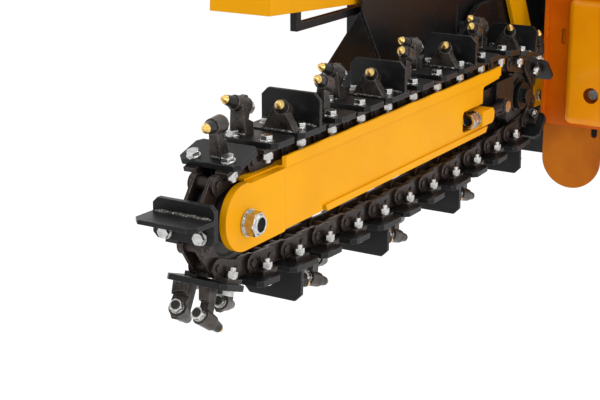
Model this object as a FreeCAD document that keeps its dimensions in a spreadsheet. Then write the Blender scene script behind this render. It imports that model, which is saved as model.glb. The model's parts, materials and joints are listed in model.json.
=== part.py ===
import FreeCAD, Part
import math
import os

# Chain trencher attachment for a compact loader.
# +X points towards the machine, -X along the boom to its nose, +Y to the motor side, +Z up.
# The origin lies on the rear face of the hitch plate, in the plane of the digging chain,
# at the height of the nose axle. All sizes are in millimetres.

V = FreeCAD.Vector
doc = FreeCAD.newDocument("trencher")
dims = doc.addObject("Spreadsheet::Sheet", "dims")

SIZES = {
    # chain
    "pitch": 42.0, "pin_radius": 5.5, "bushing_radius": 9.0, "bar_thick": 4.5, "bar_half_height": 13.2,
    "inner_bar_gap": 20.0, "outer_bar_gap": 30.0, "tab_low": 11.0, "tab_thick": 6.0, "tab_reach": 34.0,
    "bolt_offset": 26.8, "plate_width": 94.0, "plate_lead": 10.0, "plate_trail": 43.0, "plate_thick": 8.0,
    "paddle_height": 46.0, "paddle_thick": 6.0, "paddle_trail": 19.0,
    "gusset_lead": 27.0, "plate_bolt_radius": 5.0,
    # boom and nose
    "centre_distance": 943.0, "nose_pin_radius": 67.96, "rail_half_width": 38.0, "rail_low": 51.0,
    "rail_high": 67.4, "rail_floor": 3.5, "rail_lip": 5.0, "web_face": 28.0, "web_thick": 6.0,
    "near_web_face": 35.0,
    "bottom_high": -28.0, "bottom_thick": 10.0, "nose_plate_thick": 10.0, "nose_round": 45.0,
    "nose_reach": 6.0, "nose_lift": 8.2, "far_cheek_reach": 34.0,
    "axle_radius": 10.0, "wheel_radius": 58.6, "wheel_width": 18.0,
    # drive head
    "head_to_hitch": 280.0, "head_drop": 13.0, "teeth": 8.0, "shaft_radius": 17.5,
    "side_face": 62.0, "side_thick": 10.0, "motor_radius": 50.0,
    # frame, guard and shield
    "hitch_thick": 10.0, "hitch_hole_radius": 9.0, "hitch_hole_y": 560.0, "hitch_hole_z": 340.0,
    "guard_face": 84.0, "guard_thick": 4.0, "shield_x": -143.0, "shield_thick": 6.0,
    "brace_face": 58.0, "brace_thick": 8.0, "hood_width": 104.0, "hood_thick": 3.0, "running_gap": 0.05,
}
for row, (alias, size) in enumerate(SIZES.items(), start=1):
    dims.set("A%d" % row, alias)
    dims.set("B%d" % row, str(size))
    dims.setAlias("B%d" % row, alias)
doc.recompute()


def dim(alias):
    """A driving size, read from the sheet."""
    return float(dims.get(alias))


NOSE_X = -(dim("head_to_hitch") + dim("centre_distance"))
HEAD_X = -dim("head_to_hitch")
HEAD_Z = -dim("head_drop")
BASE = dim("tab_low") + dim("tab_thick") + dim("plate_thick")   # top of a base plate above the pin line
BOSS_BEHIND, BOSS_AHEAD = 10.0, 15.0                            # a tooth boss, each side of its root
PIN_COUNT = 54      # pitches in the closed chain, half of them outer links
# What each outer link carries, from the nose's top round to its front:
# A a near post, B a far block, D both, P a paddle with a gusset tooth. The last paddle has no tooth.
CARRIED = "ABP" * 4 + "AB" + "PBD" * 4 + "P"
SPROCKET_TOOTH = 3.5  # tooth height above the pitch circle
FIRST_PIN = 1.4     # the first pin, along the top run from the nose axle
parts = []


def place(obj, label, base=(0, 0, 0), bind=None):
    """Give a sub-part its label and place; bind maps a placement axis to an expression."""
    obj.Label = label
    obj.Placement = FreeCAD.Placement(V(*base), obj.Placement.Rotation)
    for axis, expression in (bind or {}).items():
        obj.setExpression("Placement.Base.%s" % axis, expression)
    parts.append(obj)
    return obj


def outline(corners):
    """Lines and tangent corner arcs through (u, v, radius) corners, closed."""
    count = len(corners)
    points = [V(c[0], c[1], 0) for c in corners]
    radii = [c[2] if len(c) > 2 else 0.0 for c in corners]
    ends = []
    for i, corner in enumerate(points):
        before = (points[i - 1] - corner).normalize()
        after = (points[(i + 1) % count] - corner).normalize()
        half = before.getAngle(after) / 2.0
        run = radii[i] / math.tan(half) if radii[i] else 0.0
        middle = corner
        if radii[i]:
            inward = (before + after).normalize()
            middle = corner + inward * (radii[i] / math.sin(half) - radii[i])
        ends.append((corner + before * run, middle, corner + after * run))
    edges = []
    for i in range(count):
        start, middle, end = ends[i]
        if radii[i]:
            edges.append(Part.Arc(start, middle, end))
        following = ends[(i + 1) % count][0]
        if end.distanceToPoint(following) > 1e-6:
            edges.append(Part.LineSegment(end, following))
    return edges


def sketch_on(body, name, role, geometry):
    """A sketch of the given geometry on one of the body's own origin planes."""
    sketch = body.newObject("Sketcher::SketchObject", name)
    plane = [f for f in body.Origin.OriginFeatures if f.Role == role][0]
    sketch.AttachmentSupport = (plane, [""])
    sketch.MapMode = "FlatFace"
    for item in geometry:
        sketch.addGeometry(item, False)
    return sketch


def plate(label, role, corners, thick, holes=(), slots=(), base=(0, 0, 0), bind=None):
    """A flat plate: an outline padded by the expression thick, with round holes and long slots.

    A plate on XZ_Plane grows towards -Y, one on YZ_Plane towards +X and one on XY_Plane towards +Z.
    """
    body = doc.addObject("PartDesign::Body", label + "_body")
    pad = body.newObject("PartDesign::Pad", label + "_pad")
    pad.Profile = sketch_on(body, label + "_outline", role, outline(corners))
    pad.setExpression("Length", thick)
    body.Tip = pad
    openings = [Part.Circle(V(u, v, 0), V(0, 0, 1), radius) for u, v, radius in holes]
    for u, v, half_u, half_v in slots:
        radius = min(half_u, half_v) * 0.98
        corners_of_slot = [(u - half_u, v - half_v, radius), (u + half_u, v - half_v, radius),
                           (u + half_u, v + half_v, radius), (u - half_u, v + half_v, radius)]
        openings += outline(corners_of_slot)
    if openings:
        doc.recompute()
        solid_volume = body.Shape.Volume
        pocket = body.newObject("PartDesign::Pocket", label + "_holes")
        pocket.Profile = sketch_on(body, label + "_hole_lines", role, openings)
        pocket.Type = "ThroughAll"
        body.Tip = pocket
        doc.recompute()
        if body.Shape.Volume > solid_volume - 1.0:
            pocket.Reversed = True
            doc.recompute()
    return place(body, label, base, bind)


def turned(label, profile, base, axis_role="Y_Axis"):
    """A body of revolution about Y; profile lists (y, radius) corners of half its section."""
    body = doc.addObject("PartDesign::Body", label + "_body")
    corners = [(radius, y) for y, radius in profile]
    lines = [Part.LineSegment(V(*corners[i], 0), V(*corners[(i + 1) % len(corners)], 0))
             for i in range(len(corners))]
    turn = body.newObject("PartDesign::Revolution", label + "_turn")
    turn.Profile = sketch_on(body, label + "_section", "XY_Plane", lines)
    axis = [f for f in body.Origin.OriginFeatures if f.Role == axis_role][0]
    turn.ReferenceAxis = (axis, [""])
    turn.Angle = 360.0
    body.Tip = turn
    return place(body, label, base)


def box(x0, x1, y0, y1, z0, z1):
    """A box shape between two corners."""
    return Part.makeBox(x1 - x0, y1 - y0, z1 - z0, V(x0, y0, z0))


def rod(radius, start, end):
    """A round bar from start to end."""
    start, end = V(*start), V(*end)
    return Part.makeCylinder(radius, start.distanceToPoint(end), start, end - start)


def cone(r0, r1, start, end):
    """A tapered round bar from start to end."""
    start, end = V(*start), V(*end)
    return Part.makeCone(r0, r1, start.distanceToPoint(end), start, end - start)


def hexagon(across_flats, start, end, turn=0.0):
    """A hexagonal prism from start to end."""
    start, end = V(*start), V(*end)
    radius = across_flats / math.sqrt(3.0)
    angles = [math.radians(60 * k + turn) for k in range(7)]
    ring = [V(radius * math.cos(q), radius * math.sin(q), 0) for q in angles]
    prism = Part.Face(Part.makePolygon(ring)).extrude(V(0, 0, start.distanceToPoint(end)))
    prism.Placement = FreeCAD.Placement(start, FreeCAD.Rotation(V(0, 0, 1), end - start))
    return prism.common(bevelled_blank(radius, start, end))


def bevelled_blank(radius, start, end):
    """The round blank whose bevelled rims take the corners off a hexagon."""
    length = start.distanceToPoint(end)
    bevel = radius * 0.12
    along = (end - start).normalize()
    low = Part.makeCone(radius - bevel, radius + bevel, bevel, start, along)
    middle = Part.makeCylinder(radius + bevel, length - 2 * bevel, start + along * bevel, along)
    high = Part.makeCone(radius + bevel, radius - bevel, bevel, end - along * bevel, along)
    return low.fuse([middle, high])


def prism_y(corners, y0, y1):
    """An outline in X and Z, extruded from y0 to y1."""
    edges = [e.toShape() for e in outline(corners)]
    face = Part.Face(Part.Wire(edges))
    solid = face.extrude(V(0, 0, y1 - y0))
    solid.Placement = FreeCAD.Placement(V(0, y1, 0), FreeCAD.Rotation(V(1, 0, 0), 90))
    return Part.Solid(solid.Shells[0]) if solid.ShapeType != "Solid" else solid


def feature(label, shapes, base=(0, 0, 0)):
    """A sub-part whose shape is made from solids: one solid, or a group of separate ones."""
    shapes = shapes if isinstance(shapes, list) else [shapes]
    solids = [solid for shape in shapes for solid in shape.Solids]
    obj = doc.addObject("Part::Feature", label)
    obj.Shape = solids[0] if len(solids) == 1 else Part.makeCompound(solids)
    return place(obj, label, base)


# ---------------------------------------------------------------- boom

def build_boom():
    """Two webs, a grooved top rail, a bottom bar and the tongue that enters the drive head."""
    low, high = dim("bottom_high"), dim("rail_low")
    bar_low = low - dim("bottom_thick")
    near_web = [(92, bar_low + 2), (196, bar_low + 2, 3), (196, low), (748, low), (748, -22, 3), (656, -22, 8),
                (656, 14, 8), (734, 14, 3), (734, 42, 7), (800, 46), (800, high), (92, high)]
    plate("boom_web_near", "XZ_Plane", near_web, "dims.web_thick", base=(NOSE_X, 0, 0),
          bind={"y": "-dims.near_web_face + dims.web_thick"})
    far_web = [(58, low), (748, low), (800, 10), (800, high), (58, high)]
    plate("boom_web_far", "XZ_Plane", far_web, "dims.web_thick", base=(NOSE_X, 0, 0),
          bind={"y": "dims.web_face"})

    half, top, floor = dim("rail_half_width"), dim("rail_high"), dim("rail_low") + dim("rail_floor")
    lip = half - dim("rail_lip")
    section = [(-half, high), (half, high), (half, top, 2), (lip, top, 2), (lip, floor, 2), (-lip, floor, 2),
               (-lip, top, 2), (-half, top, 2)]
    rail = plate("top_rail", "YZ_Plane", section, "800 - 8", base=(NOSE_X + 8, 0, 0))
    wheel_slot = rail.newObject("PartDesign::Pocket", "wheel_slot")
    wheel_slot.Profile = sketch_on(rail, "wheel_slot_outline", "XY_Plane",
                                   outline([(-1, -12), (60, -12, 8), (60, 12, 8), (-1, 12)]))
    wheel_slot.Type = "ThroughAll"
    wheel_slot.Reversed = True
    near_notch = rail.newObject("PartDesign::Pocket", "near_notch")
    near_notch.Profile = sketch_on(rail, "near_notch_outline", "XY_Plane",
                                   outline([(-1, -40), (88, -40), (80, -27.5), (-1, -27.5)]))
    near_notch.Type = "ThroughAll"
    near_notch.Reversed = True
    rail.Tip = near_notch

    plate("bottom_rail", "XZ_Plane", [(206, bar_low), (745, bar_low), (752, low), (200, low)],
          "2 * dims.rail_half_width", base=(NOSE_X, 0, 0), bind={"y": "dims.rail_half_width"})
    tongue = box(690, 872, -21.5, 21.5, -16, 28).cut(box(680, 880, -16.5, 16.5, -11, 23))
    feature("boom_tongue", tongue, (NOSE_X, 0, 0))
    near = -dim("near_web_face") + dim("web_thick")
    ribs = [box(x, x + 8, near, 22, low, high) for x in (180, 400, 620)]
    collars = [box(x, x + 8, -22, 22, low, high).cut(box(x - 1, x + 9, -21.5, 21.5, -16, 28))
               for x in (696, 730)]
    feature("boom_ribs", ribs + collars, (NOSE_X, 0, 0))


def build_nose():
    """Cheek plates, axle bolt with lock nut, and the plain idler wheel on two bearings."""
    reach, lift, radius = dim("nose_reach"), dim("nose_lift"), dim("nose_round")
    left, low, high = -reach - radius, lift - radius, dim("rail_low")
    corners = [(left, low, radius - 0.5), (92, low, 3), (92, high), (6, high), (2, lift + radius, 4),
               (left, lift + radius, radius - 0.5)]
    hole = [(0, 0, dim("axle_radius") + 0.2)]
    plate("nose_plate_near", "XZ_Plane", corners, "dims.nose_plate_thick", holes=hole, base=(NOSE_X, 0, 0),
          bind={"y": "-dims.web_face"})
    short = dim("far_cheek_reach")
    far = [(-short, -short, short - 1), (20, -short - 2, 20), (92, low, 3), (92, high), (20, high, 14),
           (-short, short, short - 1)]
    plate("nose_plate_far", "XZ_Plane", far, "dims.nose_plate_thick", holes=hole, base=(NOSE_X, 0, 0),
          bind={"y": "dims.web_face + dims.nose_plate_thick"})
    face = dim("web_face") + dim("nose_plate_thick")
    axle = rod(dim("axle_radius"), (0, face + 3, 0), (0, -face - 15, 0))
    head = hexagon(30, (0, face + 3, 0), (0, face + 15.5, 0))
    feature("nose_bolt", axle.fuse(head), (NOSE_X, 0, 0))
    bore = rod(dim("axle_radius"), (0, -face - 40, 0), (0, face + 40, 0))
    washers = [rod(18.5, (0, -face - 3, 0), (0, -face, 0)), rod(18.5, (0, face, 0), (0, face + 3, 0))]
    nut = hexagon(30, (0, -face - 3, 0), (0, -face - 18, 0)).fuse(
        cone(14.0, 12.5, (0, -face - 18, 0), (0, -face - 21, 0)))
    feature("nose_nut_and_washers", [piece.cut(bore) for piece in [nut] + washers], (NOSE_X, 0, 0))

    wheel, half = dim("wheel_radius"), dim("wheel_width") / 2.0
    profile = [(-half, 50), (-half, wheel - 1.5), (-half + 1.5, wheel), (half - 1.5, wheel),
               (half, wheel - 1.5),
               (half, 50), (half - 3, 46), (half - 3, 32), (13, 28), (13, 21), (-13, 21), (-13, 28),
               (-half + 3, 32), (-half + 3, 46)]
    turned("idler_wheel", profile, (NOSE_X, 0, 0))
    seal = rod(20.99, (0, 0.5, 0), (0, 12.5, 0)).cut(rod(15.05, (0, -20, 0), (0, 20, 0)))
    other_seal = rod(20.99, (0, -12.5, 0), (0, -0.5, 0)).cut(rod(15.05, (0, -20, 0), (0, 20, 0)))
    feature("idler_bearings", [seal, other_seal], (NOSE_X, 0, 0))
    web = dim("web_face")
    sleeve = rod(15.0, (0, -web, 0), (0, web, 0)).cut(bore)
    feature("idler_sleeve", sleeve, (NOSE_X, 0, 0))


def build_tensioner():
    """Eye bolt in a window of the near web that pulls the drive head back and tightens the chain."""
    axis_y, axis_z = -36.0, -5.0
    lug = prism_y([(700, -18), (741, -18, 5), (748, -11, 4), (748, 1, 4), (741, 8, 5), (700, 8)],
                  axis_y - 15, -dim("web_face") + dim("web_thick"))
    feature("tension_lug", lug.cut(rod(8.1, (690, axis_y, axis_z), (770, axis_y, axis_z))), (NOSE_X, 0, 0))
    stem = rod(8.0, (679, axis_y, axis_z), (801, axis_y, axis_z))
    eye = rod(13.0, (812, axis_y - 6, axis_z), (812, axis_y + 6, axis_z))
    eye_bolt = stem.fuse(eye).cut(rod(7.05, (812, axis_y - 20, axis_z), (812, axis_y + 20, axis_z)))
    feature("tension_eye_bolt", eye_bolt, (NOSE_X, 0, 0))
    bore = rod(8.0, (600, axis_y, axis_z), (760, axis_y, axis_z))
    nuts = [hexagon(24, (x, axis_y, axis_z), (x + 10, axis_y, axis_z), 30) for x in (673, 684.5)]
    washer = rod(13.5, (696, axis_y, axis_z), (700, axis_y, axis_z))
    pin = rod(7.0, (812, axis_y - 10, axis_z), (812, -29, axis_z)).fuse(
        rod(10.0, (812, axis_y - 13, axis_z), (812, axis_y - 7, axis_z)))
    fasteners = [piece.cut(bore) for piece in nuts + [washer]] + [pin.removeSplitter()]
    feature("tension_fasteners", fasteners, (NOSE_X, 0, 0))


# ---------------------------------------------------------------- chain

def chain_route(sag):
    """Points along the pin line: top run, dip to the sprocket, wrap, sagging bottom run, nose."""
    nose, count = dim("nose_pin_radius"), int(dim("teeth"))
    drive = dim("pitch") / (2.0 * math.sin(math.pi / count))
    rail_end = NOSE_X + 820.0
    to_centre = V(HEAD_X - rail_end, HEAD_Z - nose, 0)
    dip = math.asin(drive / to_centre.Length) + math.atan2(to_centre.y, to_centre.x)
    route = [(NOSE_X, nose), (rail_end, nose)]
    degrees = 90.0 + math.degrees(dip)
    while degrees > -90.0:
        angle = math.radians(degrees)
        route.append((HEAD_X + drive * math.cos(angle), HEAD_Z + drive * math.sin(angle)))
        degrees -= 0.25
    start_z, steps = HEAD_Z - drive, 400
    for k in range(steps + 1):
        u = k / steps
        line = start_z + (-nose - start_z) * u
        route.append((HEAD_X + (NOSE_X - HEAD_X) * u, line - 4.0 * sag * u * (1.0 - u)))
    for k in range(1, 721):
        angle = math.radians(-90.0 - 0.25 * k)
        route.append((NOSE_X + nose * math.cos(angle), nose * math.sin(angle)))
    return route


def walk_chain(sag):
    """One pin more than the chain has, each a pitch from the last along the route."""
    route = chain_route(sag)
    route += route[1:2]
    pins = [(NOSE_X + FIRST_PIN, dim("nose_pin_radius"))]
    segment, start = 0, pins[0]
    while len(pins) < PIN_COUNT + 1:
        end = route[segment + 1]
        if math.dist(pins[-1], end) < dim("pitch"):
            segment, start = segment + 1, end
            continue
        low, high = 0.0, 1.0
        for _ in range(40):
            middle = (low + high) / 2.0
            point = (start[0] + (end[0] - start[0]) * middle, start[1] + (end[1] - start[1]) * middle)
            low, high = (middle, high) if math.dist(pins[-1], point) < dim("pitch") else (low, middle)
        pins.append(point)
        start = point
    return pins


def closed_chain():
    """Let the bottom run sag until the chain just closes."""
    low, high = 0.0, 60.0
    for _ in range(30):
        sag = (low + high) / 2.0
        falls_short = walk_chain(sag)[PIN_COUNT][0] < NOSE_X + FIRST_PIN
        low, high = (low, sag) if falls_short else (sag, high)
    return walk_chain(sag)[:PIN_COUNT]


class Link:
    """The place of one link: a along the chain against its travel, c outwards, y as in the model."""

    def __init__(self, first, second):
        self.base = V((first[0] + second[0]) / 2.0, 0, (first[1] + second[1]) / 2.0)
        angle = math.degrees(math.atan2(second[1] - first[1], second[0] - first[0]))
        self.rotation = FreeCAD.Rotation(V(0, 1, 0), -angle)

    def carry(self, shape):
        """A copy of a shape drawn in the link's own directions, moved to the link."""
        moved = shape.copy()
        moved.Placement = FreeCAD.Placement(self.base, self.rotation)
        return moved


def spread(label, shape, links):
    """One node holding the same piece on each of the given links."""
    return feature(label, [link.carry(shape) for link in links])


def side_bar(y0, y1):
    """A chain side bar with round ends and two pin holes."""
    half, radius = dim("pitch") / 2.0, dim("bar_half_height")
    ends = half + radius
    bar = prism_y([(-ends, -radius, radius - 0.01), (ends, -radius, radius - 0.01),
                   (ends, radius, radius - 0.01), (-ends, radius, radius - 0.01)], y0, y1)
    return bar


def build_chain_core(pins, outer, inner):
    """Pins, bushings and side bars; the outer bars carry a bent-out tab for the digging plates."""
    half_pitch, pin = dim("pitch") / 2.0, dim("pin_radius")
    y_in, thick = dim("inner_bar_gap") / 2.0, dim("bar_thick")
    y_out = dim("outer_bar_gap") / 2.0
    bush = dim("bushing_radius")
    pin_ends = y_out + thick + 2.0
    holes = [rod(pin, (x, -40, 0), (x, 40, 0)) for x in (-half_pitch, half_pitch)]
    bush_holes = [rod(bush - 2.0, (x, -40, 0), (x, 40, 0)) for x in (-half_pitch, half_pitch)]

    inner_bars = [side_bar(side * y_in, side * (y_in + thick)) if side > 0 else
                  side_bar(-y_in - thick, -y_in) for side in (-1, 1)]
    spread("inner_side_bars", Part.makeCompound([bar.cut(bush_holes) for bar in inner_bars]), inner)
    tube = rod(bush, (0, -y_in, 0), (0, y_in, 0)).fuse(
        rod(bush - 2.0, (0, -y_in - thick, 0), (0, y_in + thick, 0))).cut(
        rod(pin + 0.2, (0, -40, 0), (0, 40, 0)))
    here = [Link((x - 1, z), (x + 1, z)) for x, z in pins]
    spread("chain_bushings", tube, here)
    shank = rod(pin, (0, -pin_ends, 0), (0, pin_ends, 0))
    spread("chain_pins", shank, here)

    low, tab = dim("tab_low"), dim("tab_thick")
    reach = dim("tab_reach")
    neck = 17.0
    bolt = rod(dim("plate_bolt_radius") + 0.4, (0, -dim("bolt_offset"), 0), (0, -dim("bolt_offset"), 40))
    upright = prism_y([(-neck, 0), (neck, 0), (neck, low + tab - 0.01), (-neck, low + tab - 0.01)],
                      -y_out - thick, -y_out)
    flange = box(-neck, neck, -reach, -y_out, low, low + tab)
    near = side_bar(-y_out - thick, -y_out).fuse([upright, flange]).cut(holes + [bolt]).removeSplitter()
    far = near.mirror(V(0, 0, 0), V(0, 1, 0))
    spread("outer_side_bars", Part.makeCompound([near, far]), outer)


def carried(outer, kinds):
    """The outer links that carry any of the given kinds of holder."""
    return [link for link, kind in zip(outer, CARRIED) if kind in kinds]


def chamfered_plate(a0, a1, half, corner, low, high):
    """A plate lying on the tabs, with its four corners cut off."""
    ring = [(a0, -half + corner), (a0 + corner, -half), (a1 - corner, -half), (a1, -half + corner),
            (a1, half - corner), (a1 - corner, half), (a0 + corner, half), (a0, half - corner)]
    face = Part.Face(Part.makePolygon([V(a, y, low) for a, y in ring + ring[:1]]))
    return face.extrude(V(0, 0, high - low))


def build_digging_plates(outer):
    """Base plates bolted to the tabs of every outer link; those with a gusset reach further forward."""
    low, high = dim("tab_low") + dim("tab_thick"), BASE
    half, trail = dim("plate_width") / 2.0, dim("plate_trail")
    offset, radius = dim("bolt_offset"), dim("plate_bolt_radius")
    bores = [rod(radius + 0.4, (0, y, 0), (0, y, 60)) for y in (-offset, offset)]
    short = chamfered_plate(-dim("plate_lead"), trail, half, 7.0, low, high).cut(bores)
    long = chamfered_plate(-dim("gusset_lead"), trail, half, 7.0, low, high).cut(bores)
    gusseted = carried(outer, "P")[:-1]
    plain = [link for link in outer if link not in gusseted]
    feature("digging_plates",
            [link.carry(short) for link in plain] + [link.carry(long) for link in gusseted])
    bolts, nuts = [], []
    tab = dim("tab_low")
    for y in (-offset, offset):
        bore = rod(radius, (0, y, -20), (0, y, 60))
        shank = rod(radius, (0, y, -4.0), (0, y, high + 3.0))
        bolts.append(shank.fuse(hexagon(15, (0, y, high + 2.0), (0, y, high + 8.4), 30)).removeSplitter())
        bolts.append(rod(9.5, (0, y, high), (0, y, high + 2.0)).cut(bore))
        nuts.append(hexagon(14, (0, y, tab - 10.0), (0, y, tab - 2.0), 0).cut(bore))
        nuts.append(rod(7.2, (0, y, tab - 2.0), (0, y, tab)).cut(bore))
    spread("plate_bolts", Part.makeCompound(bolts), outer)
    spread("plate_nuts", Part.makeCompound(nuts), outer)


def tooth_pieces(root, tip):
    """A bullet tooth in its boss: shank with a tapered nose, hard tip, and the lock nut behind."""
    root, tip = V(*root), V(*tip)
    along = (tip - root).normalize()
    length = root.distanceToPoint(tip)
    cap, front = 8.0, root + along * BOSS_AHEAD
    neck = root + along * (length - cap)
    back = root - along * (BOSS_BEHIND + 11.0)
    shank = Part.makeCylinder(6.0, back.distanceToPoint(front), back, along)
    nose = Part.makeCone(9.0, 6.6, front.distanceToPoint(neck), front, along)
    body = shank.fuse(nose).removeSplitter()
    point = Part.makeCone(6.6, 3.4, cap - 2.0, neck, along).fuse(
        Part.makeCone(3.4, 1.2, 2.0, tip - along * 2.0, along)).removeSplitter()
    seat = root - along * BOSS_BEHIND
    washer = Part.makeCylinder(9.5, 2.5, seat - along * 2.5, along)
    nut = hexagon(16, tuple(seat - along * 9.5), tuple(seat - along * 2.5), 30)
    bore = Part.makeCylinder(6.0, 60.0, root - along * 40.0, along)
    return body, point, washer.cut(bore), nut.cut(bore)


def holder(outline_yz, a0, a1, root, tip):
    """A holder plate across the chain with a tapered boss, bored for the shank of its tooth."""
    ring = [V(a0, y, c) for y, c in outline_yz + outline_yz[:1]]
    solid = Part.Face(Part.makePolygon(ring)).extrude(V(a1 - a0, 0, 0))
    root, tip = V(*root), V(*tip)
    along = (tip - root).normalize()
    ends = (root - along * BOSS_BEHIND, root + along * BOSS_AHEAD)
    space = [Part.makeCylinder(20.0, 40.0, ends[0] - along * 40.0, along),
             Part.makeCylinder(20.0, 40.0, ends[1], along)]
    boss = Part.makeCone(12.5, 10.6, ends[0].distanceToPoint(ends[1]), ends[0], along)
    bore = Part.makeCylinder(6.02, 80.0, root - along * 40.0, along)
    return solid.cut(space).fuse(boss).cut(bore).removeSplitter()


def build_teeth(outer):
    """Leaning posts, far-side blocks and triangular gussets, each with one tooth."""
    post_root, post_tip = (15.0, -8.0, BASE + 42.0), (-21.0, -14.0, BASE + 56.0)
    block_root, block_tip = (22.0, 28.0, BASE + 38.0), (-14.0, 35.0, BASE + 53.0)
    gusset_root, gusset_tip = (-13.0, -8.0, BASE + 26.0), (-44.0, -20.0, BASE + 42.0)
    post = holder([(-13, BASE), (6, BASE), (-3, BASE + 46), (-13, BASE + 46)], 5, 22, post_root, post_tip)
    arch = [(14, BASE), (40, BASE), (38, BASE + 40), (32, BASE + 50), (24, BASE + 50), (18, BASE + 40)]
    block = holder(arch, 12, 32, block_root, block_tip)
    wedge = [(-34, BASE), (18, BASE), (0, BASE + 31), (-15, BASE + 31)]
    gusset = holder(wedge, -26, -12, gusset_root, gusset_tip)
    kinds = [("tooth_posts", post, post_root, post_tip, carried(outer, "AD")),
             ("tooth_blocks", block, block_root, block_tip, carried(outer, "BD")),
             ("tooth_gussets", gusset, gusset_root, gusset_tip, carried(outer, "P")[:-1])]
    bodies, tips, rings = [], [], []
    for label, shape, root, tip, links in kinds:
        spread(label, shape, links)
        body, point, washer, nut = tooth_pieces(root, tip)
        bodies += [link.carry(body) for link in links]
        tips += [link.carry(point) for link in links]
        rings += [link.carry(piece) for link in links for piece in (washer, nut)]
    feature("tooth_bodies", bodies)
    feature("tooth_tips", tips)
    feature("tooth_lock_nuts", rings)


def build_paddles(outer):
    """Spoil paddles that stand on every third base plate."""
    half, high = dim("plate_width") / 2.0, BASE + dim("paddle_height")
    a0, thick = dim("paddle_trail"), dim("paddle_thick")
    corner = 10.0
    ring = [(-half, BASE), (half, BASE), (half, high - corner), (half - corner, high),
            (-half + corner, high),
            (-half, high - corner)]
    face = Part.Face(Part.makePolygon([V(a0, y, c) for y, c in ring + ring[:1]]))
    spread("spoil_paddles", face.extrude(V(thick, 0, 0)), carried(outer, "P"))


def build_chain(pins):
    """The whole digging chain."""
    outer = [Link(pins[i - 1], pins[i]) for i in range(0, PIN_COUNT, 2)]
    inner = [Link(pins[i], pins[i + 1]) for i in range(0, PIN_COUNT, 2)]
    build_chain_core(pins, outer, inner)
    build_digging_plates(outer)
    build_paddles(outer)
    build_teeth(outer)


# ---------------------------------------------------------------- drive head

def build_sprocket():
    """Toothed drive sprocket with its hub, keyed shaft and end cap."""
    count = int(dim("teeth"))
    ring = dim("pitch") / (2.0 * math.sin(math.pi / count))
    seat = dim("bushing_radius") + 0.4
    disc = doc.addObject("Part::Cylinder", "sprocket_blank")
    disc.Radius = ring + SPROCKET_TOOTH
    disc.setExpression("Height", "dims.wheel_width")
    disc.Placement = FreeCAD.Placement(V(0, 9, 0), FreeCAD.Rotation(V(1, 0, 0), 90))
    gaps = []
    for k in range(count):
        angle = 360.0 / count * k
        notch = Part.makeCylinder(seat, 40, V(ring, -20, 0), V(0, 1, 0))
        wedge = [(ring - 3, -seat), (ring + 20, -seat - 34), (ring + 20, seat + 34), (ring - 3, seat)]
        mouth = prism_y(wedge, -20, 20)
        gap = notch.fuse(mouth)
        gap.rotate(V(0, 0, 0), V(0, 1, 0), angle)
        gaps.append(gap)
    gaps.append(rod(31.0, (0, -20, 0), (0, 20, 0)))
    tool = doc.addObject("Part::Feature", "sprocket_gaps")
    tool.Shape = Part.makeCompound(gaps)
    wheel = doc.addObject("Part::Cut", "sprocket_wheel")
    wheel.Base, wheel.Tool = disc, tool
    wheel.Placement = FreeCAD.Placement(V(), FreeCAD.Rotation(V(0, 1, 0), SPROCKET_TURN))
    place(wheel, "drive_sprocket", (HEAD_X, 0, HEAD_Z))


def build_shaft():
    """The hub, shaft, key and end cap that turn with the sprocket."""
    radius, face = dim("shaft_radius"), dim("side_face")
    hub = rod(31.0, (0, -13, 0), (0, 13, 0)).cut(rod(radius, (0, -20, 0), (0, 20, 0)))
    feature("sprocket_hub", hub, (HEAD_X, 0, HEAD_Z))
    shaft = rod(radius, (0, -16, 0), (0, face + 26, 0))
    feature("drive_shaft", shaft, (HEAD_X, 0, HEAD_Z))
    cap = rod(25.0, (0, -22, 0), (0, -16, 0)).fuse(hexagon(24, (0, -32, 0), (0, -22, 0)))
    feature("shaft_end_cap", cap.removeSplitter(), (HEAD_X, 0, HEAD_Z))


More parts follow.
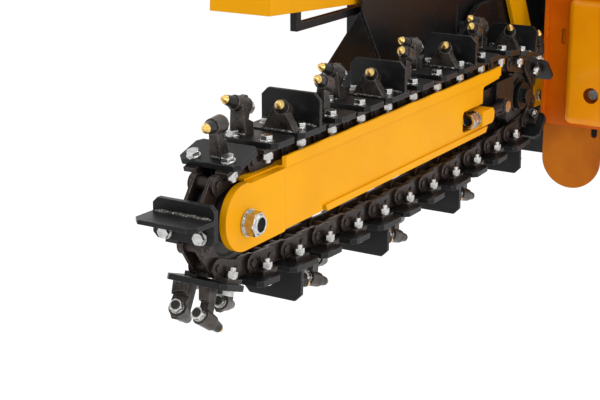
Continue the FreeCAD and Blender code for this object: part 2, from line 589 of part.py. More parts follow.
def build_head():
    """Side plate, boom socket, shaft bearing and hydraulic motor."""
    face, thick = dim("side_face"), dim("side_thick")
    side = [(-440, -66, 30), (-330, -96, 30), (-11, -96), (-11, 150), (-300, 150, 60), (-440, 60, 40)]
    bolts = [(HEAD_X + 62 * sx, HEAD_Z + 62 * sz, 6.5) for sx in (-1, 1) for sz in (-1, 1)]
    plate("main_side_plate", "XZ_Plane", side, "dims.side_thick", holes=bolts + [(HEAD_X, HEAD_Z, 42.2)],
          bind={"y": "dims.side_face + dims.side_thick"})
    x0, x1 = NOSE_X + 806, NOSE_X + 878
    socket = box(x0, x1, -29, face, -24, 36).cut(box(x0 - 5, x1 + 5, -22, 22, -16.5, 28.5))
    feature("head_socket", socket)
    radius = dim("shaft_radius")
    housing = rod(42.0, (0, face - 12, 0), (0, face + thick, 0)).fuse(
        rod(56.0, (0, face - 8, 0), (0, face, 0))).cut(rod(30.0, (0, 0, 0), (0, 100, 0)))
    feature("bearing_housing", housing.removeSplitter(), (HEAD_X, 0, HEAD_Z))
    gap = dim("running_gap")
    bearing = rod(30.0, (0, face - 10, 0), (0, face + 8, 0)).cut(rod(radius + gap, (0, 0, 0), (0, 100, 0)))
    feature("shaft_bearing", bearing, (HEAD_X, 0, HEAD_Z))

    back, body = face + thick, dim("motor_radius")
    flange = prism_y([(-76, -76, 14), (76, -76, 14), (76, 76, 14), (-76, 76, 14)], back, back + 16)
    barrel = rod(body, (0, back + 16, 0), (0, back + 104, 0))
    ports = box(-34, 34, back + 34, back + 84, body - 14, body + 16)
    well = rod(radius + 6, (0, back - 1, 0), (0, back + 20, 0))
    wells = [rod(11.0, (x, back + 59, body + 2), (x, back + 59, body + 20)) for x in (-17, 17)]
    holes = [rod(6.5, (62 * sx, back - 1, 62 * sz), (62 * sx, back + 20, 62 * sz))
             for sx in (-1, 1) for sz in (-1, 1)]
    motor = flange.fuse([barrel, ports]).cut([well] + wells + holes).removeSplitter()
    feature("hydraulic_motor", motor, (HEAD_X, 0, HEAD_Z))
    cap = rod(body + 4, (0, back + 104, 0), (0, back + 122, 0)).cut(
        [rod(5.0, (44 * math.cos(q), back + 116, 44 * math.sin(q)),
             (44 * math.cos(q), back + 130, 44 * math.sin(q)))
         for q in [math.radians(60 * k) for k in range(6)]])
    feature("motor_end_cap", cap, (HEAD_X, 0, HEAD_Z))
    fittings = []
    for x in (-17, 17):
        stem = rod(10.9, (x, back + 59, body + 2), (x, back + 59, body + 22))
        collar = hexagon(27, (x, back + 59, body + 16), (x, back + 59, body + 26))
        nipple = rod(8.5, (x, back + 59, body + 26), (x, back + 59, body + 44))
        port = rod(5.5, (x, back + 59, body + 8), (x, back + 59, body + 60))
        fittings.append(stem.fuse([collar, nipple]).cut(port))
    feature("motor_fittings", fittings, (HEAD_X, 0, HEAD_Z))
    screws = []
    for sx in (-1, 1):
        for sz in (-1, 1):
            head = hexagon(19, (62 * sx, back + 16, 62 * sz), (62 * sx, back + 24, 62 * sz))
            screws.append(rod(6.4, (62 * sx, face - 3, 62 * sz), (62 * sx, back + 17, 62 * sz)).fuse(head))
    feature("motor_bolts", screws, (HEAD_X, 0, HEAD_Z))


# ---------------------------------------------------------------- frame, guard, hood and shield

def build_frame():
    """Hitch plate with its lips, cross beam and the two arms to the drive head, and the yellow brace."""
    wide = [(-210, -190, 20), (500, -190, 20), (500, 250, 20), (-210, 250, 20)]
    middle_y, middle_z = 145.0, 30.0
    half_y, half_z = dim("hitch_hole_y") / 2.0, dim("hitch_hole_z") / 2.0
    radius = dim("hitch_hole_radius")
    holes = [(middle_y + sy * half_y, middle_z + sz * half_z, radius) for sy in (-1, 1) for sz in (-1, 1)]
    plate("hitch_plate", "YZ_Plane", wide, "dims.hitch_thick", holes=holes, bind={"x": "-dims.hitch_thick"})
    front = -dim("hitch_thick")
    lip = box(front - 60, front, -190, 480, 238, 248)
    back = dim("side_face") + dim("side_thick")
    beam = box(front - 70, front, back, 470, -110, -50).cut(
        box(front - 65, front - 5, back - 5, 480, -105, -55))
    ribs = [prism_y([(front, 238), (front - 56, 238), (front - 12, 100), (front, 100)], y, y + 8)
            for y in (-150, back + 60, 430)]
    feature("hitch_stiffeners", [lip] + ribs)
    arm = box(HEAD_X + 90, front, back, back + 50, 60, 120).cut(
        box(HEAD_X + 80, front + 5, back + 5, back + 45, 65, 115))
    feature("frame_tubes", [beam, arm])
    brace = [(-12, -90), (-12, -40), (-134, 166, 60), (-222, 300, 14), (-262, 300, 14), (-196, 150, 60),
             (-60, -90)]
    plate("brace", "XZ_Plane", brace, "dims.brace_thick", holes=[(-236, 276, 6.5), (-34, -66, 6.5)],
          bind={"y": "dims.brace_face"})
    y0, y1 = dim("brace_face") - dim("brace_thick"), dim("side_face")
    fixings = [rod(6.4, (-34, y0 - 4, -66), (-34, y1, -66)).fuse(
        hexagon(19, (-34, y0 - 8, -66), (-34, y0, -66)))]
    guard = dim("guard_face")
    fixings.append(rod(6.4, (-236, y0 - 4, 276), (-236, guard - 4, 276)).fuse(
        hexagon(19, (-236, y0 - 8, 276), (-236, y0, 276))))
    spacers = [rod(12, (-34, y1 - 4, -66), (-34, y1, -66)),
               rod(12, (-236, dim("brace_face"), 276), (-236, guard - 4, 276))]
    bores = [rod(6.4, (-34, 0, -66), (-34, 100, -66)), rod(6.4, (-236, 0, 276), (-236, 100, 276))]
    sleeves = [spacer.cut(bore) for spacer, bore in zip(spacers, bores)]
    feature("brace_fasteners", fixings + sleeves)


def build_guard():
    """Black chain guard behind the drive end, with its bent front flange and fixing bolts."""
    front = NOSE_X
    panel = [(front + 517, 300), (front + 517, 190), (front + 592, 88, 20), (-195, 88, 20), (-195, 300, 10)]
    plate("chain_guard", "XZ_Plane", panel, "dims.guard_thick", slots=[(front + 866, 128, 2.6, 27)],
          holes=[(x, z, 5.5) for x, z in GUARD_BOLTS], bind={"y": "dims.guard_face"})
    face, thick = dim("guard_face"), dim("guard_thick")
    apex, foot = V(517, face, 190), V(592, face, 88)
    corners = [apex, foot, V(500, face + 60, 88), apex]
    solid = Part.Face(Part.makePolygon(corners)).extrude(V(-thick, 0, 0))
    feature("guard_flange", solid, (NOSE_X, 0, 0))
    side = dim("side_face") + dim("side_thick")
    posts = []
    for x, z in GUARD_BOLTS:
        spacer = rod(11, (x, side, z), (x, face - thick, z))
        posts.append(spacer.fuse(rod(5.4, (x, face - thick, z), (x, face + 6, z))).fuse(
            hexagon(17, (x, face, z), (x, face + 8, z))).removeSplitter())
    feature("guard_bolts", posts)


def build_shield():
    """Orange spoil shield across the machine end, its pressed panel, and the height-adjustable shoe."""
    x0, thick = dim("shield_x") + 8.0, dim("shield_thick")
    corners = [(-4, 205, 12), (-4, -96, 12), (-300, -96, 20), (-300, 205, 12)]
    plate("spoil_shield", "YZ_Plane", corners, "dims.shield_thick", base=(x0, 0, 0),
          holes=[(SHOE_BOLT_Y, SHOE_BOLT_Z, 6.6)], slots=[(-38, 75, 4, 15)])
    edge = box(x0 - 14, x0, -9, -4, -84, 193)
    top = box(x0 - 40, x0, -300, -56, 188, 193)
    depth, wall = 22.0, 3.0
    outer = box(x0 - depth, x0, -296, -52, -88, 150)
    outer = outer.makeFillet(14.0, [e for e in outer.Edges if e.CenterOfMass.x < x0 - 1])
    inner = box(x0 - depth + wall, x0, -296 + wall, -52 - wall, -88 + wall, 150 - wall)
    inner = inner.makeFillet(12.0, [e for e in inner.Edges if e.CenterOfMass.x < x0 - 1])
    sight = rod(15.0, (x0 - depth - 5, SHOE_BOLT_Y, SHOE_BOLT_Z), (x0, SHOE_BOLT_Y, SHOE_BOLT_Z))
    feature("shield_panel", outer.cut([inner, sight]))

    back = x0 + thick
    travel = SHOE_TRAVEL
    shoe = [(-120, -219, 57.9), (-4, -219, 57.9), (-4, 100, 8), (-120, 100, 8)]
    slot_half = travel / 2.0 + 6.8
    plate("depth_shoe", "YZ_Plane", shoe, "dims.shield_thick", base=(back + SHOE_GAP, 0, 0),
          slots=[(SHOE_BOLT_Y, SHOE_BOLT_Z - travel / 2.0, 6.8, slot_half)])
    clamp = back + 2 * SHOE_GAP + thick
    bolt = rod(6.0, (x0 - 7, SHOE_BOLT_Y, SHOE_BOLT_Z), (clamp + 20, SHOE_BOLT_Y, SHOE_BOLT_Z)).fuse(
        hexagon(19, (x0 - 8, SHOE_BOLT_Y, SHOE_BOLT_Z), (x0, SHOE_BOLT_Y, SHOE_BOLT_Z)))
    bore = rod(6.0, (clamp - 5, SHOE_BOLT_Y, SHOE_BOLT_Z), (clamp + 40, SHOE_BOLT_Y, SHOE_BOLT_Z))
    washer = rod(11.5, (clamp, SHOE_BOLT_Y, SHOE_BOLT_Z), (clamp + 4, SHOE_BOLT_Y, SHOE_BOLT_Z))
    nut = hexagon(19, (clamp + 4, SHOE_BOLT_Y, SHOE_BOLT_Z), (clamp + 14, SHOE_BOLT_Y, SHOE_BOLT_Z))
    feature("shoe_fasteners", [bolt.removeSplitter(), washer.cut(bore), nut.cut(bore)])
    guide = box(back, clamp + 6, -128, -120 - SHOE_GAP, -90, 150).fuse(
        box(clamp, clamp + 6, -128, -117.5, -90, 150)).removeSplitter()
    arm = box(back, -dim("hitch_thick"), -200, -140, 30, 90).cut(
        box(back + 6, -dim("hitch_thick") - 6, -195, -145, 35, 85))
    feature("shoe_guide", guide)
    feature("shield_supports", [arm, edge, top])


def build_hood():
    """Yellow hood hinged on the guard, with the black hand bar under it, the hinge pin and bracket."""
    hinge_x, hinge_z, tilt = NOSE_X + 700.0, 265.0, 3.7
    long, depth, wall = 430.0, 75.0, dim("hood_thick")
    y0 = dim("guard_face") + 12.0
    y1 = y0 + dim("hood_width")
    shell = box(-long, 0, y0, y1, -depth, -12)
    rims = [e for e in shell.Edges if e.CenterOfMass.z > -13 and abs(e.CenterOfMass.x) > 1]
    shell = shell.makeFillet(8.0, rims)
    shell = shell.cut(box(-long + wall, -wall, y0 + wall, y1 - wall, -depth - 1, -12 - wall))
    barrel = rod(14.0, (0, y0, 0), (0, y1, 0)).fuse(box(-30, 0, y0, y1, -13, -2))
    bore = rod(8.0 + dim("running_gap"), (0, y0 - 1, 0), (0, y1 + 1, 0))
    hood = shell.fuse(barrel).cut(bore).removeSplitter()
    hood.rotate(V(0, 0, 0), V(0, 1, 0), tilt)
    feature("hood", hood, (hinge_x, 0, hinge_z))
    bar_y = y0 + wall
    bar = box(348, 577, bar_y, bar_y + 12, 183, 195).fuse([box(348, 360, bar_y, bar_y + 12, 183, 235),
                                                           box(565, 577, bar_y, bar_y + 12, 183, 225)])
    feature("hood_bar", bar.removeSplitter(), (NOSE_X, 0, 0))
    guard = dim("guard_face")
    bracket = prism_y([(-26, -40, 6), (26, -40, 6), (22, 22, 20), (-22, 22, 20)], guard, guard + 8).cut(
        rod(8.0, (0, 0, 0), (0, 200, 0)))
    feature("hinge_bracket", bracket, (hinge_x, 0, hinge_z))
    pin = rod(8.0, (0, guard, 0), (0, y1 + 6, 0)).fuse(rod(12.0, (0, y1 + 1, 0), (0, y1 + 6, 0)))
    feature("hood_hinge_pin", pin.removeSplitter(), (hinge_x, 0, hinge_z))


GUARD_BOLTS = [(-318.0, 110.0), (-225.0, 125.0)]
SHOE_BOLT_Y, SHOE_BOLT_Z = -105.0, -28.0
SHOE_TRAVEL, SHOE_GAP = 80.0, 0.4
pins = closed_chain()
on_sprocket = [p for p in pins if abs(math.dist(p, (HEAD_X, HEAD_Z)) - 54.88) < 0.3]
SPROCKET_TURN = -math.degrees(math.atan2(on_sprocket[0][1] - HEAD_Z, on_sprocket[0][0] - HEAD_X))

build_boom()
build_nose()
build_tensioner()
build_chain(pins)
build_sprocket()
build_shaft()
build_head()
build_frame()
build_guard()
build_shield()
build_hood()
doc.recompute()

for obj in doc.Objects:
    if "Invalid" in obj.State or "Error" in obj.State:
        raise RuntimeError("%s did not rebuild" % obj.Label)
for obj in parts:
    if obj.Shape.isNull() or not obj.Shape.isValid() or not obj.Shape.Solids:
        raise RuntimeError("%s is not a sound solid" % obj.Label)
os.makedirs("parts", exist_ok=True)
for obj in parts:
    obj.Shape.exportStep("parts/%s.step" % obj.Label)
print(len(parts), "sub-parts written")
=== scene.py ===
import json
import math

import bmesh
import bpy
import numpy as np
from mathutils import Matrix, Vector


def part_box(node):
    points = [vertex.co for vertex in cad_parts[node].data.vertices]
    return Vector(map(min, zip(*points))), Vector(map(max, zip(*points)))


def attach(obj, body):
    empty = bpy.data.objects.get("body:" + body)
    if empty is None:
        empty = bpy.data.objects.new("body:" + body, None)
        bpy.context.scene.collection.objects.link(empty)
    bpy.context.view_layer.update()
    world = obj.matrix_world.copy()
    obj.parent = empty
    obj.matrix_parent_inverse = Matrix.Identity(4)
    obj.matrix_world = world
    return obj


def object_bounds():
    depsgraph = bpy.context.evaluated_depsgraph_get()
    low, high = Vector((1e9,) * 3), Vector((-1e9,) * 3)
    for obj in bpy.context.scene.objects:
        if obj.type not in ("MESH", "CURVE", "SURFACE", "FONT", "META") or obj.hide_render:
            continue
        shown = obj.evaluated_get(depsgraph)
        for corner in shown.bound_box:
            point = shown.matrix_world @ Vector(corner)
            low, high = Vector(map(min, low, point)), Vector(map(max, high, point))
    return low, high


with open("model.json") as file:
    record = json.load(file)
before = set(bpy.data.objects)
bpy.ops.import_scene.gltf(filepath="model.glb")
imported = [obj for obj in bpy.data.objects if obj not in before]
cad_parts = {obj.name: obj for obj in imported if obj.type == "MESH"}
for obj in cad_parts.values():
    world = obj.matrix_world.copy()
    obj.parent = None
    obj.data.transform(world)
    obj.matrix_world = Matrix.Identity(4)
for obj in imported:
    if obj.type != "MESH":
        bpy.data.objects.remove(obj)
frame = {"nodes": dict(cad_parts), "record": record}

CAD_LOW, CAD_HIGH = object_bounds()
MM = 0.001
scene = bpy.context.scene


# ---------------------------------------------------------------- materials

class Graph:
    """A material's node tree, with short calls for the nodes used here."""

    def __init__(self, name):
        self.material = bpy.data.materials.new(name)
        self.material.use_nodes = True
        self.nodes = self.material.node_tree.nodes
        self.links = self.material.node_tree.links
        self.shader = self.nodes["Principled BSDF"]
        coords = self.nodes.new("ShaderNodeTexCoord")
        self.place = coords.outputs["Object"]
        self.rounded = None

    def join(self, output, target):
        """Link one node's output to another node's input."""
        self.links.new(output, target)

    def noise(self, scale, detail, rough=0.55, stretch=None):
        """Noise over the object's own coordinates, in cells per metre."""
        node = self.nodes.new("ShaderNodeTexNoise")
        node.inputs["Scale"].default_value = scale
        node.inputs["Detail"].default_value = detail
        node.inputs["Roughness"].default_value = rough
        place = self.place
        if stretch:
            mapping = self.nodes.new("ShaderNodeMapping")
            mapping.inputs["Scale"].default_value = stretch
            self.join(place, mapping.inputs["Vector"])
            place = mapping.outputs["Vector"]
        self.join(place, node.inputs["Vector"])
        return node.outputs["Fac"]

    def steps(self, value, low, high, start=0.0, end=1.0):
        """Map a value's low..high to start..end."""
        node = self.nodes.new("ShaderNodeMapRange")
        for key, number in (("From Min", low), ("From Max", high), ("To Min", start), ("To Max", end)):
            node.inputs[key].default_value = number
        self.join(value, node.inputs["Value"])
        return node.outputs["Result"]

    def blend(self, factor, first, second):
        """Mix two colours, each a colour or another node's output."""
        node = self.nodes.new("ShaderNodeMix")
        node.data_type = "RGBA"
        self.join(factor, node.inputs[0])
        for socket, value in ((node.inputs[6], first), (node.inputs[7], second)):
            if isinstance(value, tuple):
                socket.default_value = (*value, 1.0)
            else:
                self.join(value, socket)
        return node.outputs[2]

    def edges(self, radius):
        """Round every edge by a small radius, and return how near an edge each point is."""
        rounded = self.nodes.new("ShaderNodeBevel")
        rounded.samples = 4
        rounded.inputs["Radius"].default_value = radius
        self.rounded = rounded.outputs["Normal"]
        plain = self.nodes.new("ShaderNodeNewGeometry").outputs["Normal"]
        dot = self.nodes.new("ShaderNodeVectorMath")
        dot.operation = "DOT_PRODUCT"
        self.join(self.rounded, dot.inputs[0])
        self.join(plain, dot.inputs[1])
        return self.steps(dot.outputs["Value"], 0.995, 0.90)

    def times(self, first, second):
        """Multiply an output by a number or by another output."""
        node = self.nodes.new("ShaderNodeMath")
        node.operation = "MULTIPLY"
        self.join(first, node.inputs[0])
        if isinstance(second, float):
            node.inputs[1].default_value = second
        else:
            self.join(second, node.inputs[1])
        return node.outputs[0]

    def bump(self, height, distance, strength):
        """Raise the surface by a height pattern, on top of the rounded edges if there are any."""
        node = self.nodes.new("ShaderNodeBump")
        node.inputs["Distance"].default_value = distance
        node.inputs["Strength"].default_value = strength
        self.join(height, node.inputs["Height"])
        if self.rounded:
            self.join(self.rounded, node.inputs["Normal"])
        self.join(node.outputs["Normal"], self.shader.inputs["Normal"])

    def finish(self, colour, roughness, **constants):
        """Wire up the shader, set its other inputs, and return the material."""
        self.join(colour, self.shader.inputs["Base Color"])
        self.join(roughness, self.shader.inputs["Roughness"])
        for key, value in constants.items():
            self.shader.inputs[key.replace("_", " ")].default_value = value
        return self.material


def scaled(colour, share):
    """A colour made darker or lighter by a factor."""
    return tuple(c * share for c in colour)


def enamel(name, colour, shade, rough=0.38, spec=0.07, coat=0.01):
    """Gloss enamel on steel plate: faint orange peel, soft colour drift, dust in small specks."""
    g = Graph(name)
    edge = g.edges(0.0012)
    drift = g.steps(g.noise(7.0, 3.0), 0.38, 0.66)
    dust = g.steps(g.noise(190.0, 5.0, 0.65), 0.66, 0.80, 0.0, 0.30)
    paint = g.blend(dust, g.blend(drift, colour, shade), scaled(shade, 0.60))
    thin = g.times(edge, 0.22)
    paint = g.blend(thin, paint, scaled(shade, 0.72))
    g.bump(g.noise(380.0, 2.0), 0.00022, 0.30)
    dull = g.steps(g.noise(24.0, 5.0), 0.3, 0.75, rough - 0.06, rough + 0.12)
    return g.finish(paint, dull, Specular_IOR_Level=spec, Coat_Weight=coat, Coat_Roughness=0.08)


def black_enamel(name):
    """Satin black paint with fine scuffs, and edges rubbed a little grey."""
    g = Graph(name)
    edge = g.edges(0.0013)
    scuff = g.steps(g.noise(85.0, 5.0, 0.6, (1.0, 0.3, 1.0)), 0.50, 0.78, 0.0, 0.8)
    base = g.blend(scuff, (0.0060, 0.0060, 0.0066), (0.0160, 0.0155, 0.0155))
    worn = g.times(edge, g.steps(g.noise(230.0, 4.0), 0.42, 0.64, 0.10, 0.75))
    g.bump(g.noise(480.0, 3.0), 0.00030, 0.35)
    dull = g.steps(g.noise(38.0, 5.0), 0.3, 0.75, 0.30, 0.46)
    return g.finish(g.blend(worn, base, (0.17, 0.16, 0.15)), dull, Specular_IOR_Level=0.20)


def oiled_steel(name, colour, tint, light, rough=0.32, metal=0.30):
    """Hot-rolled steel under oil: brown-black, cloudy at a large scale, with brighter rubbed edges."""
    g = Graph(name)
    edge = g.edges(0.0015)
    cloud = g.steps(g.noise(42.0, 5.0, 0.60), 0.36, 0.68)
    scale = g.steps(g.noise(330.0, 4.0, 0.62), 0.56, 0.74, 0.0, 0.45)
    base = g.blend(scale, g.blend(cloud, colour, tint), scaled(tint, 1.9))
    worn = g.times(edge, g.steps(g.noise(260.0, 4.0), 0.40, 0.64, 0.12, 0.80))
    g.bump(g.noise(420.0, 5.0, 0.6), 0.00035, 0.45)
    dull = g.steps(g.noise(110.0, 4.0), 0.3, 0.7, rough - 0.08, rough + 0.14)
    return g.finish(g.blend(worn, base, light), dull, Metallic=metal, Specular_IOR_Level=0.28)


def zinc_plate(name):
    """Bright zinc plating with a thin cloudy film."""
    g = Graph(name)
    edge = g.edges(0.0006)
    cloud = g.steps(g.noise(150.0, 4.0), 0.35, 0.68)
    base = g.blend(cloud, (0.60, 0.60, 0.59), (0.38, 0.37, 0.35))
    spots = g.steps(g.noise(420.0, 3.0), 0.63, 0.74, 0.0, 0.45)
    bright = g.blend(edge, g.blend(spots, base, (0.16, 0.15, 0.13)), (0.90, 0.90, 0.89))
    g.bump(g.noise(650.0, 3.0), 0.00018, 0.4)
    dull = g.steps(g.noise(90.0, 4.0), 0.3, 0.7, 0.15, 0.30)
    return g.finish(bright, dull, Metallic=1.0)


def hard_tip(name):
    """Brazed bronze-coloured hard tip, grainy, with darker smudges."""
    g = Graph(name)
    edge = g.edges(0.0006)
    grain = g.steps(g.noise(480.0, 5.0, 0.7), 0.38, 0.68)
    base = g.blend(grain, (0.80, 0.54, 0.17), (0.52, 0.33, 0.09))
    smudge = g.steps(g.noise(150.0, 3.0), 0.58, 0.72, 0.0, 0.6)
    base = g.blend(smudge, base, (0.16, 0.10, 0.05))
    g.bump(g.noise(560.0, 5.0), 0.00045, 0.6)
    dull = g.steps(g.noise(280.0, 3.0), 0.3, 0.7, 0.22, 0.38)
    return g.finish(g.blend(edge, base, (0.90, 0.66, 0.28)), dull, Metallic=0.9)


def ground_steel(name):
    """Machined steel with faint turning marks and an oil film."""
    g = Graph(name)
    edge = g.edges(0.0007)
    marks = g.noise(60.0, 3.0, 0.5, (1.0, 14.0, 1.0))
    base = g.blend(g.steps(marks, 0.35, 0.65), (0.40, 0.385, 0.36), (0.25, 0.235, 0.21))
    g.bump(marks, 0.00015, 0.35)
    dull = g.steps(marks, 0.3, 0.7, 0.24, 0.38)
    return g.finish(g.blend(edge, base, (0.62, 0.60, 0.57)), dull, Metallic=1.0)


def casting(name):
    """Sand-cast iron under thin dark paint."""
    g = Graph(name)
    edge = g.edges(0.0014)
    sand = g.noise(430.0, 6.0, 0.7)
    cloud = g.steps(g.noise(45.0, 5.0), 0.35, 0.7)
    base = g.blend(cloud, (0.019, 0.019, 0.020), (0.038, 0.034, 0.031))
    worn = g.times(edge, 0.5)
    g.bump(sand, 0.0008, 0.6)
    dull = g.steps(sand, 0.3, 0.7, 0.42, 0.60)
    return g.finish(g.blend(worn, base, (0.11, 0.10, 0.09)), dull, Metallic=0.15)


def weld_metal(name, base, crest):
    """A weld bead, painted over or bare, with brighter metal in random specks."""
    g = Graph(name)
    spatter = g.steps(g.noise(300.0, 5.0, 0.7), 0.50, 0.66)
    g.bump(g.noise(520.0, 4.0), 0.0006, 0.7)
    dull = g.steps(spatter, 0.0, 1.0, 0.42, 0.26)
    return g.finish(g.blend(spatter, base, crest), dull, Metallic=0.6)


MATERIALS = {
    "yellow_paint": enamel("yellow_enamel", (0.735, 0.322, 0.0004), (0.690, 0.288, 0.0004)),
    "orange_paint": enamel("orange_enamel", (0.60, 0.118, 0.0006), (0.46, 0.076, 0.0006),
                           rough=0.24, spec=0.14, coat=0.06),
    "black_paint": black_enamel("black_enamel"),
    "chain_steel": oiled_steel("oiled_chain_steel", (0.013, 0.0095, 0.0085), (0.034, 0.023, 0.019),
                               (0.26, 0.21, 0.18)),
    "tooth_steel": oiled_steel("forged_tooth_steel", (0.0075, 0.0080, 0.0070), (0.019, 0.017, 0.014),
                               (0.14, 0.125, 0.105), rough=0.26, metal=0.20),
    "pin_steel": ground_steel("ground_steel"),
    "zinc": zinc_plate("zinc_plate"),
    "tip_brass": hard_tip("hard_tip"),
    "cast_iron": casting("cast_iron"),
}
DARK_WELD = weld_metal("dark_weld", (0.040, 0.037, 0.034), (0.58, 0.55, 0.51))
# black enamel for these nodes: on the shaft end cap and sprocket hub it is painted shade, a dark stand-in
# for the shadow on the drive head; the nose bolt and tension eye bolt get the same black enamel
BLACKENED_AND_PAINTED_SHADE = ("shaft_end_cap", "sprocket_hub", "nose_bolt", "tension_eye_bolt")
RUBBED = ("tooth_posts", "tooth_gussets", "tooth_blocks")


def finish_nodes():
    """Give every CAD node the material of its slot in the record, or its own where the photo differs."""
    slot_of = {row["node"]: row["material_slot"] for row in frame["record"]["subparts"]}
    # black enamel, which is painted shade on the shaft end cap and sprocket hub
    special = {node: black_enamel("blackened_and_painted_shade_" + node) for node in BLACKENED_AND_PAINTED_SHADE}
    for node in RUBBED:
        special[node] = oiled_steel("rubbed_" + node, (0.012, 0.010, 0.009), (0.070, 0.058, 0.050),
                                    (0.34, 0.30, 0.26), rough=0.30, metal=0.40)
    special["shield_panel"] = enamel("amber_enamel", (0.76, 0.275, 0.0006), (0.70, 0.205, 0.0006),
                                     rough=0.24, spec=0.22, coat=0.12)
    # the depth shoe's amber is set darker than the paint itself: part of its darkness is painted shade
    special["depth_shoe"] = enamel("amber_enamel_darkened_as_painted_shade", (0.47, 0.132, 0.0006), (0.32, 0.074, 0.0006),
                                   rough=0.24, spec=0.10, coat=0.04)
    for node, obj in frame["nodes"].items():
        finish = special.get(node, MATERIALS[slot_of[node]])
        for slot in obj.material_slots:
            slot.material = finish


# ---------------------------------------------------------------- welds and threads on the chain

SAME_POINT = 1e-5       # vertices closer than this are one point


def solids_of(node):
    """The points of each separate solid of a CAD node, found by spreading the lowest label along edges."""
    mesh = frame["nodes"][node].data
    points = np.empty(len(mesh.vertices) * 3)
    mesh.vertices.foreach_get("co", points)
    points = points.reshape(-1, 3)
    _, same = np.unique(np.round(points / SAME_POINT), axis=0, return_inverse=True)
    same = same.reshape(-1)
    ends = np.empty(len(mesh.edges) * 2, int)
    mesh.edges.foreach_get("vertices", ends)
    ends = same[ends.reshape(-1, 2)]
    label = np.arange(same.max() + 1)
    while True:
        lowest = label.copy()
        np.minimum.at(lowest, ends[:, 0], label[ends[:, 1]])
        np.minimum.at(lowest, ends[:, 1], label[ends[:, 0]])
        lowest = lowest[lowest]
        if (lowest == label).all():
            break
        label = lowest
    return [points[label[same] == one] for one in np.unique(label)]


class Plate:
    """A base plate's own frame: along the chain, across it, and outward, from the plate's middle."""

    def __init__(self, points, nose, head):
        self.middle = (points.min(0) + points.max(0)) / 2.0
        flat = points[:, [0, 2]] - points[:, [0, 2]].mean(0)
        out, along = np.linalg.eigh(flat.T @ flat)[1].T
        share = np.clip((self.middle[0] - nose[0]) / (head[0] - nose[0]), 0.0, 1.0)
        inner = nose + share * (head - nose)
        if np.dot(out, self.middle[[0, 2]] - inner[[0, 2]]) < 0:
            out = -out
        self.axes = np.array([(along[0], 0.0, along[1]), (0.0, 1.0, 0.0), (out[0], 0.0, out[1])])
        self.low, self.high = self.local(points).min(0), self.local(points).max(0)
        self.middle = self.middle + ((self.low + self.high) / 2.0) @ self.axes
        self.low, self.high = self.local(points).min(0), self.local(points).max(0)

    def local(self, points):
        """Points of the CAD frame, in the plate's frame."""
        return (points - self.middle) @ self.axes.T

    def world(self, point):
        """A point of the plate's frame, in the CAD frame."""
        return self.middle + np.asarray(point) @ self.axes


def base_plates():
    """A frame for every base plate of the chain."""
    centres = [np.array((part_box(node)[0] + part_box(node)[1]) / 2.0)
               for node in ("idler_wheel", "drive_shaft")]
    return [Plate(points, *centres) for points in solids_of("digging_plates")]


def tube_rows(rows, vertices, faces):
    """Skin a closed tube over rows of points, with a cap at each end."""
    start, ring = len(vertices), len(rows[0])
    for row in rows:
        vertices.extend(tuple(point) for point in row)
    for k in range(len(rows) - 1):
        for m in range(ring):
            a, b = start + k * ring + m, start + k * ring + (m + 1) % ring
            faces.append((a, b, b + ring, a + ring))
    faces.append(tuple(start + m for m in reversed(range(ring))))
    faces.append(tuple(start + (len(rows) - 1) * ring + m for m in range(ring)))


BEAD_SIDES = 10
BEAD_STEP, RIPPLE = 0.7 * MM, 2.6 * MM      # between the rows of a bead, and between its ripples
SLANT = (0.31, 0.17, 0.93)                  # any direction that no bead lies along


def bead_rows(first, last, radius, seed):
    """Rows of a weld bead from first to last: overlapping ripples, a little uneven."""
    first, last = np.asarray(first), np.asarray(last)
    length = np.linalg.norm(last - first)
    along = (last - first) / length
    side = np.cross(along, SLANT)
    side /= np.linalg.norm(side)
    other = np.cross(along, side)
    count = max(6, int(length / BEAD_STEP))
    rows = []
    for k in range(count + 1):
        s = k / count
        ripple = (s * length / RIPPLE + 0.35 * math.sin(9.0 * s + seed)) % 1.0
        swell = radius * (0.80 + 0.26 * math.sqrt(1.0 - ripple) + 0.08 * math.sin(23.0 * s + 2.1 * seed))
        swell *= min(1.0, 0.35 + 9.0 * min(s, 1.0 - s))
        drift = 0.22 * radius * math.sin(11.0 * s + 1.7 * seed)
        centre = first + along * (s * length) + side * drift
        rows.append([centre + swell * (math.cos(q) * side + math.sin(q) * other)
                     for q in np.arange(BEAD_SIDES) * math.tau / BEAD_SIDES])
    return rows


def mesh_piece(name, vertices, faces, material, body):
    """A smooth visible piece that rides on a body."""
    mesh = bpy.data.meshes.new(name)
    mesh.from_pydata(vertices, [], faces)
    mesh.polygons.foreach_set("use_smooth", [True] * len(mesh.polygons))
    shape = bmesh.new()
    shape.from_mesh(mesh)
    bmesh.ops.recalc_face_normals(shape, faces=shape.faces)
    shape.to_mesh(mesh)
    shape.free()
    mesh.materials.append(material)
    piece = bpy.data.objects.new(name, mesh)
    scene.collection.objects.link(piece)
    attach(piece, body)


# a node whose solids are welded down, its beads' radius, and how far they stop short of its ends, in mm
WELDED = (("spoil_paddles", 3.1, 4.0), ("tooth_posts", 2.0, 0.5), ("tooth_blocks", 2.0, 0.5),
          ("tooth_gussets", 2.0, 3.0))
FOOT_SLACK = 0.3 * MM       # a solid's points this near to the plate's top are its foot
WRONG_SIDE = 10.0           # a metre on a plate's inner side counts as this many along the chain


def plate_under(middle, plates):
    """The plate that a piece stands on: the nearest along the chain, with the piece on its outer side."""
    def distance(plate):
        along, _, outward = plate.local(middle)
        return abs(along) + WRONG_SIDE * max(0.0, -outward)
    return min(plates, key=distance)


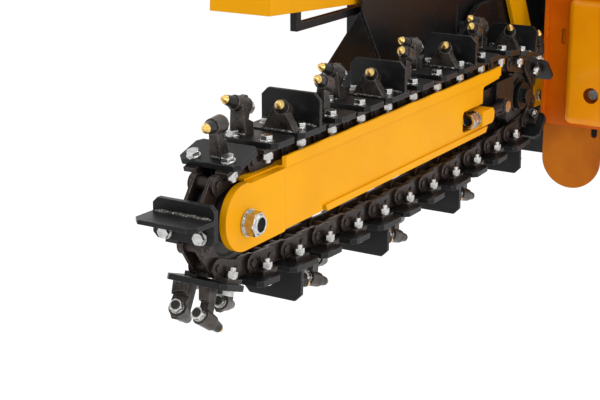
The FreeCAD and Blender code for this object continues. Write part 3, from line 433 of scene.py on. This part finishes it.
def build_chain_welds(plates):
    """A bead on each side of every paddle and tooth holder, where it stands on its plate."""
    for node, radius, inset in WELDED:
        vertices, faces = [], []
        for seed, points in enumerate(solids_of(node)):
            plate = plate_under(points.mean(0), plates)
            top = plate.high[2]
            local = plate.local(points)
            foot = local[np.abs(local[:, 2] - top) < FOOT_SLACK]
            low, high = foot.min(0), foot.max(0)
            for along in (low[0], high[0]):
                ends = [plate.world((along, across, top))
                        for across in (low[1] + inset * MM, high[1] - inset * MM)]
                tube_rows(bead_rows(*ends, radius * MM, seed + 40.0 * along), vertices, faces)
        mesh_piece("welds_of_" + node, vertices, faces, DARK_WELD, "frame")


THREAD_PITCH, THREAD_RIDGE, THREAD_TURNS = 1.5 * MM, 0.42 * MM, 3.4
THREAD_ROOT, THREAD_HALF = 0.4 * MM, 0.45 * THREAD_PITCH    # how deep and how wide the ridge's foot is
THREAD_STEPS, THREAD_FADE = 16, 6.0                         # steps in a turn, and in the ridge's run-out
THREAD_START = 0.75 * MM        # from the bolt's end
SHORTEST_BOLT = 15.0 * MM       # a shorter bolt has no thread
END_SLACK = 0.2 * MM            # a bolt's points this near to its end are its end face


def build_bolt_threads(plates):
    """A helical ridge on the end of every plate bolt that stands out past its nut."""
    vertices, faces = [], []
    steps = THREAD_TURNS * THREAD_STEPS
    for points in solids_of("plate_bolts"):
        middle = (points.min(0) + points.max(0)) / 2.0
        plate = min(plates, key=lambda one: np.linalg.norm(one.middle - middle))
        local = plate.local(points)
        end = local[:, 2].min()
        tail = local[local[:, 2] < end + END_SLACK]
        if local[:, 2].max() - end < SHORTEST_BOLT:
            continue
        centre = (tail.min(0) + tail.max(0)) / 2.0
        radius = (tail[:, 1].max() - tail[:, 1].min()) / 2.0
        root = radius - THREAD_ROOT
        rows = []
        for k in range(int(steps) + 1):
            turn = k * math.tau / THREAD_STEPS
            level = end + THREAD_START + k / THREAD_STEPS * THREAD_PITCH
            crest = radius + THREAD_RIDGE * min(1.0, k / THREAD_FADE, (steps - k) / THREAD_FADE)
            rows.append([plate.world((centre[0] + r * math.cos(turn), centre[1] + r * math.sin(turn),
                                      level + shift))
                         for r, shift in ((root, -THREAD_HALF), (crest, 0.0), (root, THREAD_HALF))])
        tube_rows(rows, vertices, faces)
    mesh_piece("bolt_threads", vertices, faces, MATERIALS["zinc"], "frame")


# ---------------------------------------------------------------- stage, light and camera

def pale(name, level, rough):
    """Plain near-white paper for the stage."""
    g = Graph(name)
    white, cool = (level, level, level), (level * 0.99, level * 0.99, level)
    tone = g.blend(g.steps(g.noise(1.5, 2.0), 0.3, 0.7), white, cool)
    return g.finish(tone, g.steps(g.noise(3.0, 2.0), 0.3, 0.7, rough, rough + 0.05))


FLOOR_REACH, FLOOR_DROP = 14.0, 0.45        # half the floor's width, and how far it lies below the boom


def build_floor():
    """A wide pale floor, well below the lowest piece."""
    mesh = bpy.data.meshes.new("floor")
    reach, level = FLOOR_REACH, CAD_LOW[2] - FLOOR_DROP
    mesh.from_pydata([(-reach, -reach, level), (reach, -reach, level), (reach, reach, level),
                      (-reach, reach, level)], [], [(0, 1, 2, 3)])
    floor = bpy.data.objects.new("floor", mesh)
    scene.collection.objects.link(floor)
    floor.data.materials.append(pale("floor_white", 0.96, 0.8))


def area_light(name, place, target, size, power):
    """A rectangular light at a place, aimed at a target."""
    light = bpy.data.lights.new(name, "AREA")
    light.shape = "RECTANGLE"
    light.size, light.size_y = size
    light.energy = power
    obj = bpy.data.objects.new(name, light)
    obj.location = place
    obj.rotation_euler = (Vector(target) - Vector(place)).to_track_quat("-Z", "Y").to_euler()
    scene.collection.objects.link(obj)


def build_light():
    """A bright studio: white surroundings, a large top light, a near-side key and a far-side rim light."""
    scene.view_settings.view_transform = "Standard"
    world = bpy.data.worlds.new("studio")
    world.use_nodes = True
    world.node_tree.nodes["Background"].inputs["Color"].default_value = (1.0, 1.0, 1.0, 1.0)
    world.node_tree.nodes["Background"].inputs["Strength"].default_value = 1.04
    scene.world = world
    middle = (-0.75, 0.0, 0.0)
    area_light("top_light", (-0.9, -0.2, 2.6), middle, (2.4, 1.6), 14.0)
    area_light("key_light", (-1.6, -3.0, 0.9), middle, (1.6, 1.2), 26.0)
    area_light("rim_light", (-0.6, 2.6, 1.4), middle, (1.6, 1.2), 12.0)


# the photo's camera, solved from the boom's edges: its lens, its place from the nose axle, and its aim
SENSOR_WIDTH, LENS = 36.0, 88.74
CAMERA_FROM_NOSE = (-1.5242, -1.0378, 0.5705)
CAMERA_AZIMUTH, CAMERA_ELEVATION = -58.85, -16.52


def build_camera():
    """A long lens off the nose on the near side, a little above the boom."""
    low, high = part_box("idler_wheel")
    nose = (low + high) / 2.0
    camera = bpy.data.cameras.new("camera")
    camera.sensor_width = SENSOR_WIDTH
    camera.lens = LENS
    obj = bpy.data.objects.new("camera", camera)
    obj.location = nose + Vector(CAMERA_FROM_NOSE)
    azimuth, elevation = math.radians(CAMERA_AZIMUTH), math.radians(CAMERA_ELEVATION)
    aim = Vector((-math.sin(azimuth) * math.cos(elevation), math.cos(azimuth) * math.cos(elevation),
                  math.sin(elevation)))
    obj.rotation_euler = aim.to_track_quat("-Z", "Y").to_euler()
    scene.collection.objects.link(obj)
    scene.camera = obj


finish_nodes()
plates = base_plates()
build_chain_welds(plates)
build_bolt_threads(plates)
build_floor()
build_light()
build_camera()
